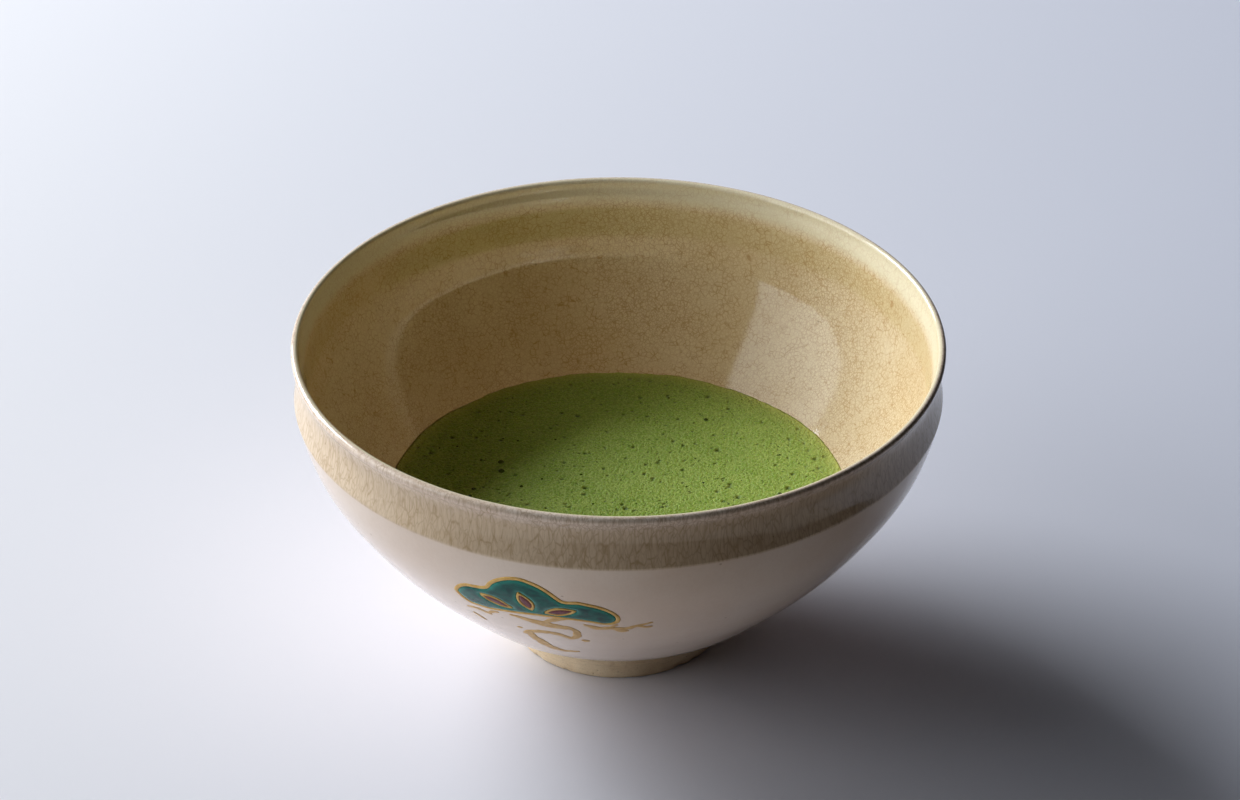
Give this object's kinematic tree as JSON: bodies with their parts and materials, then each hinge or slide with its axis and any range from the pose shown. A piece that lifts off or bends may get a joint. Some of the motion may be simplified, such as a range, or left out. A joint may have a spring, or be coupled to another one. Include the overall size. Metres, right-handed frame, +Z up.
{
  "type": "matcha bowl",
  "caption": "Footed ceramic tea bowl with crackled cream glaze, a ridge under the lip, a small painted pine in raised enamel and gilding, and whisked green tea with foam inside.",
  "frame": {"origin": "centre of the foot's standing plane, on the bowl's axis", "axes": "+Z up along the bowl's axis; -Y towards the viewer, with the painted pine on the wall 16 degrees towards -X from -Y; +X to the right"},
  "size_m": [0.1251, 0.1252, 0.0654],
  "materials": {
    "clay": "matte",
    "bare_clay": "matte",
    "glaze": "gloss",
    "green_enamel": "gloss",
    "purple_enamel": "gloss",
    "gilding": "satin",
    "tea": "satin",
    "foam": "matte"
  },
  "bodies": {
    "root": {"clay_body": "clay", "foot_ring": "bare_clay", "outer_glaze": "glaze", "inner_glaze": "glaze", "matcha_tea": "tea", "matcha_foam": "foam", "pine_foliage_enamel": "green_enamel", "gold_cloud_outline": "gilding", "gold_trunk": "gilding", "gold_left_twigs": "gilding", "gold_right_branch": "gilding", "gold_window_outlines": "gilding", "gold_dots": "gilding", "purple_enamel_left": "purple_enamel", "purple_enamel_centre": "purple_enamel", "purple_enamel_right": "purple_enamel"}
  },
  "joints": []
}
